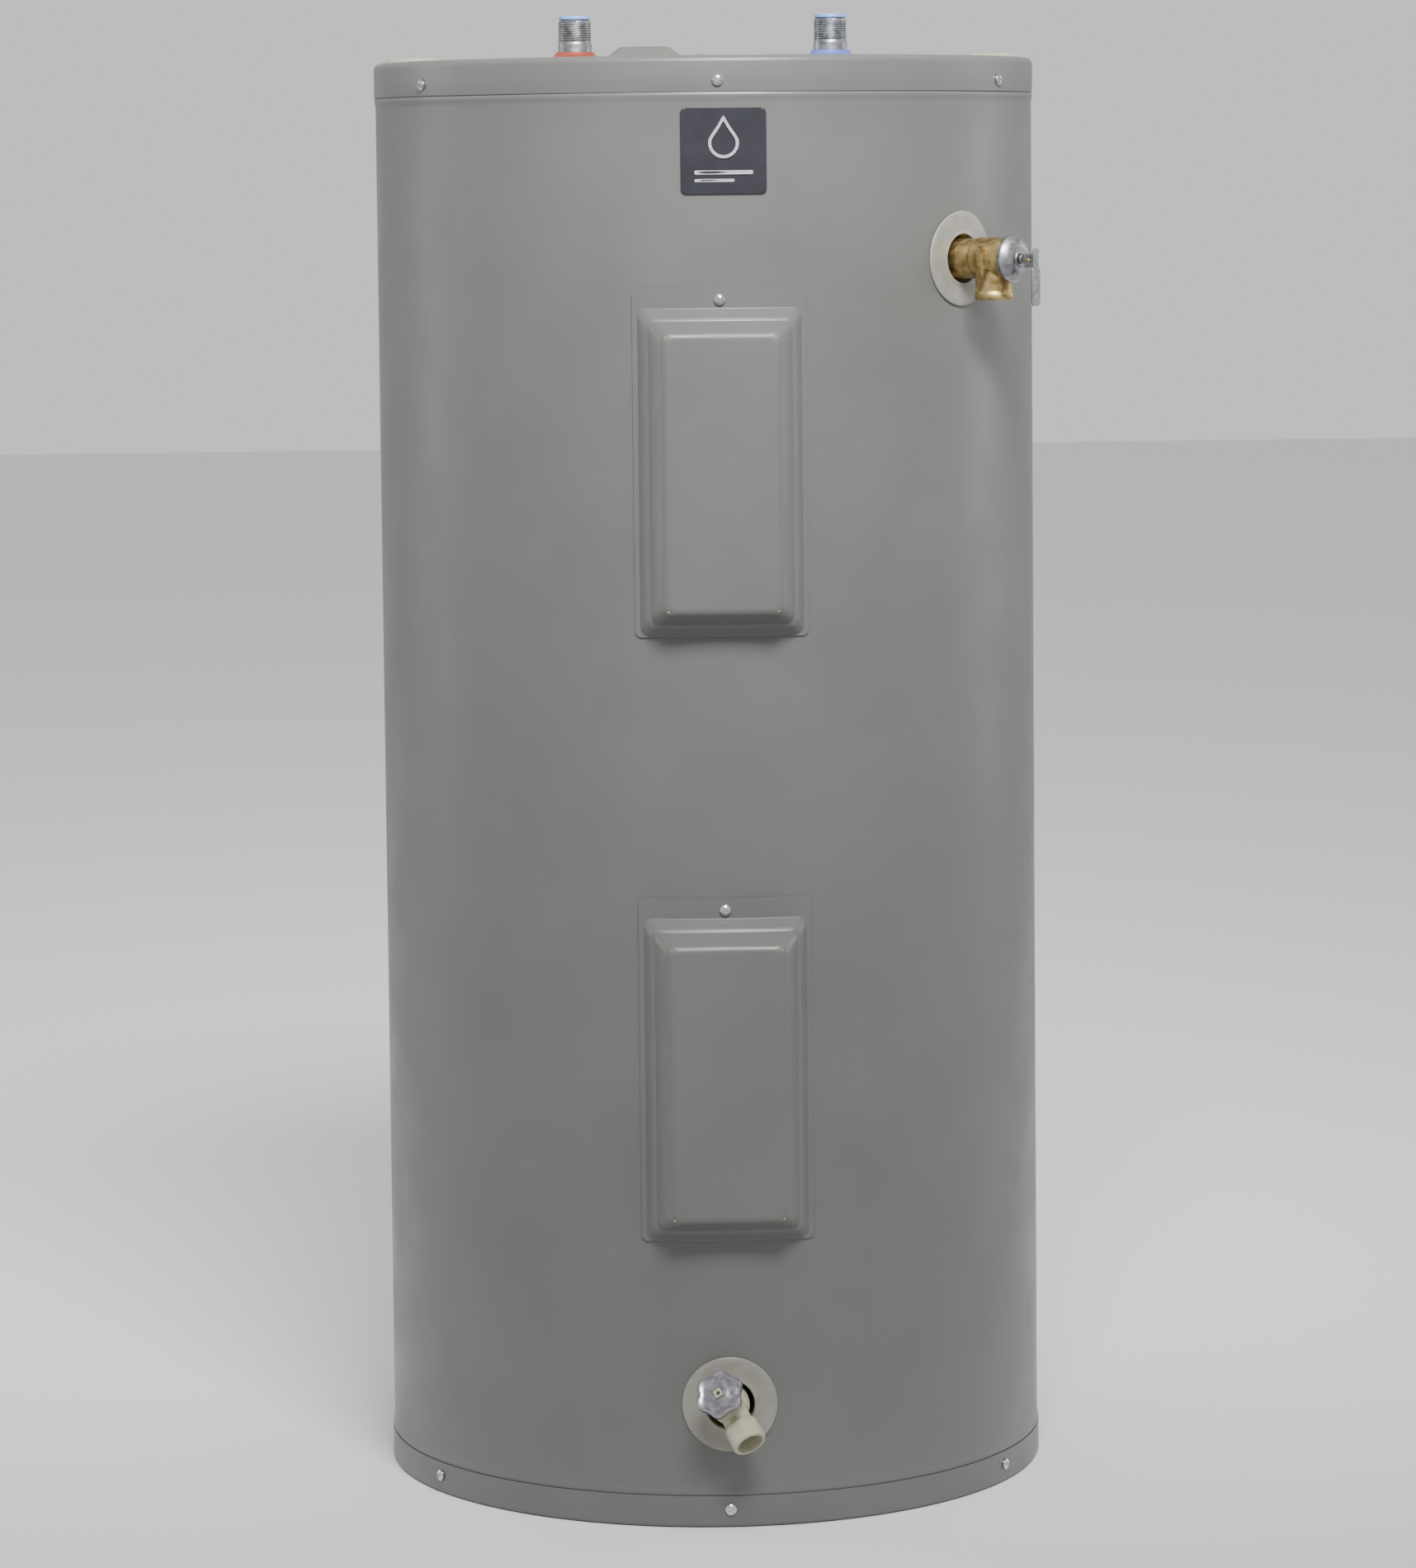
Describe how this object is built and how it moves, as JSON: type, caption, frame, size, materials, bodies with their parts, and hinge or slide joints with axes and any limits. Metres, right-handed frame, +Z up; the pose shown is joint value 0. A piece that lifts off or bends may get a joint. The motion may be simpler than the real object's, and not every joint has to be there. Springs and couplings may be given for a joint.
{
  "type": "tank water heater",
  "caption": "Cylindrical tank water heater with raised front access covers, top pipe nipples, side relief valve with lever and low drain valve with handwheel",
  "frame": {"origin": "middle of the base, on the floor", "axes": "+Z up, -Y towards the front with the two access covers, +X to the cold connection"},
  "size_m": [0.5228, 0.5746, 1.1553],
  "materials": {
    "body_enamel": "satin grey baked enamel",
    "lined_steel": "glass-lined steel, blue-black lining",
    "foam": "cut rigid polyurethane foam",
    "zinc_steel": "zinc-plated steel",
    "brass": "cast and machined brass",
    "chrome": "bright plated screws",
    "red_plastic": "brick red moulded plastic",
    "blue_plastic": "blue moulded plastic",
    "liner_plastic": "light blue moulded plastic",
    "white_plastic": "white polypropylene",
    "plug_plastic": "yellowish grey moulded plastic",
    "ivory_plastic": "ivory moulded nylon",
    "trim_plastic": "warm grey moulded plastic",
    "black_plastic": "black moulded phenolic",
    "control_red": "red moulded control",
    "rubber": "black seal rubber",
    "anode_metal": "cast anode metal",
    "badge": "dark charcoal printed plate"
  },
  "bodies": {
    "heater": {"bottom_pan": "body_enamel", "jacket": "body_enamel", "top_pan": "body_enamel", "tank": "lined_steel", "foam_insulation": "foam", "cold_nipple": "zinc_steel", "hot_nipple": "zinc_steel", "junction_box": "zinc_steel", "relief_cap": "zinc_steel", "relief_spring": "zinc_steel", "upper_element": "zinc_steel", "lower_element": "zinc_steel", "relief_body": "brass", "relief_probe": "brass", "top_pan_screw": "chrome", "top_screw_1": "chrome", "top_screw_2": "chrome", "top_screw_3": "chrome", "top_screw_4": "chrome", "top_screw_5": "chrome", "top_screw_6": "chrome", "bottom_screw_1": "chrome", "bottom_screw_2": "chrome", "bottom_screw_3": "chrome", "bottom_screw_4": "chrome", "bottom_screw_5": "chrome", "bottom_screw_6": "chrome", "hot_collar": "red_plastic", "cold_collar": "blue_plastic", "hot_liner": "liner_plastic", "cold_liner": "liner_plastic", "dip_tube": "white_plastic", "foam_plug_left": "plug_plastic", "foam_plug_right": "plug_plastic", "drain_body": "ivory_plastic", "drain_bonnet": "ivory_plastic", "relief_trim_ring": "trim_plastic", "drain_trim_ring": "trim_plastic", "upper_thermostat": "black_plastic", "lower_thermostat": "black_plastic", "high_limit": "black_plastic", "anode_rod": "anode_metal", "badge": "badge"},
    "relief_stem": {"relief_stem": "zinc_steel"},
    "relief_lever": {"relief_lever": "zinc_steel", "relief_lever_pin": "brass"},
    "drain_washer": {"drain_washer": "rubber"},
    "drain_wheel": {"drain_stem": "ivory_plastic", "drain_handwheel": "zinc_steel"},
    "upper_cover": {"upper_access_cover": "body_enamel", "upper_cover_screw": "chrome", "upper_insulation_pad": "foam"},
    "lower_cover": {"lower_access_cover": "body_enamel", "lower_cover_screw": "chrome", "lower_insulation_pad": "foam"},
    "upper_dial": {"upper_dial": "control_red"},
    "lower_dial": {"lower_dial": "control_red"},
    "reset_button": {"reset_button": "control_red"},
    "junction_lid": {"junction_cover": "body_enamel", "junction_cover_screw": "chrome"}
  },
  "joints": [
    {"name": "relief_lever_hinge", "type": "hinge", "parent": "relief_stem", "child": "relief_lever", "pos_m": [0.23784, -0.22492, 0.9621], "axis": [-0.6871, -0.7266, 0], "range_deg": [0, 80]},
    {"name": "relief_stem_slide", "type": "slide", "parent": "heater", "child": "relief_stem", "axis": [0.7266, -0.6871, 0], "range_m": [0, 0.003], "deforming": ["relief_spring"]},
    {"name": "drain_wheel_turn", "type": "hinge", "parent": "drain_washer", "child": "drain_wheel", "pos_m": [-0.00854, -0.29411, 0.10952], "axis": [-0.3311, -0.766, 0.551], "range_deg": [0, 720]},
    {"name": "drain_washer_slide", "type": "slide", "parent": "heater", "child": "drain_washer", "axis": [-0.3311, -0.766, 0.551], "range_m": [0, 0.006]},
    {"name": "upper_cover_off", "type": "slide", "parent": "heater", "child": "upper_cover", "axis": [0, -1, 0], "range_m": [0, 0.12]},
    {"name": "lower_cover_off", "type": "slide", "parent": "heater", "child": "lower_cover", "axis": [0, -1, 0], "range_m": [0, 0.12]},
    {"name": "upper_dial_turn", "type": "hinge", "parent": "heater", "child": "upper_dial", "pos_m": [0, -0.2261, 0.827], "axis": [0, 1, 0], "range_deg": [0, 270]},
    {"name": "lower_dial_turn", "type": "hinge", "parent": "heater", "child": "lower_dial", "pos_m": [0, -0.2261, 0.366], "axis": [0, 1, 0], "range_deg": [0, 270]},
    {"name": "reset_press", "type": "slide", "parent": "heater", "child": "reset_button", "axis": [0, 1, 0], "range_m": [0, 0.002], "stiffness_N_per_m": 500},
    {"name": "junction_lid_lift", "type": "slide", "parent": "heater", "child": "junction_lid", "axis": [0, 0, 1], "range_m": [0, 0.06]}
  ],
  "couplings": [
    {"joint": "relief_stem_slide", "follows": "relief_lever_hinge", "m_per_rad": 0.00214},
    {"joint": "drain_washer_slide", "follows": "drain_wheel_turn", "m_per_rad": 0.000477}
  ]
}
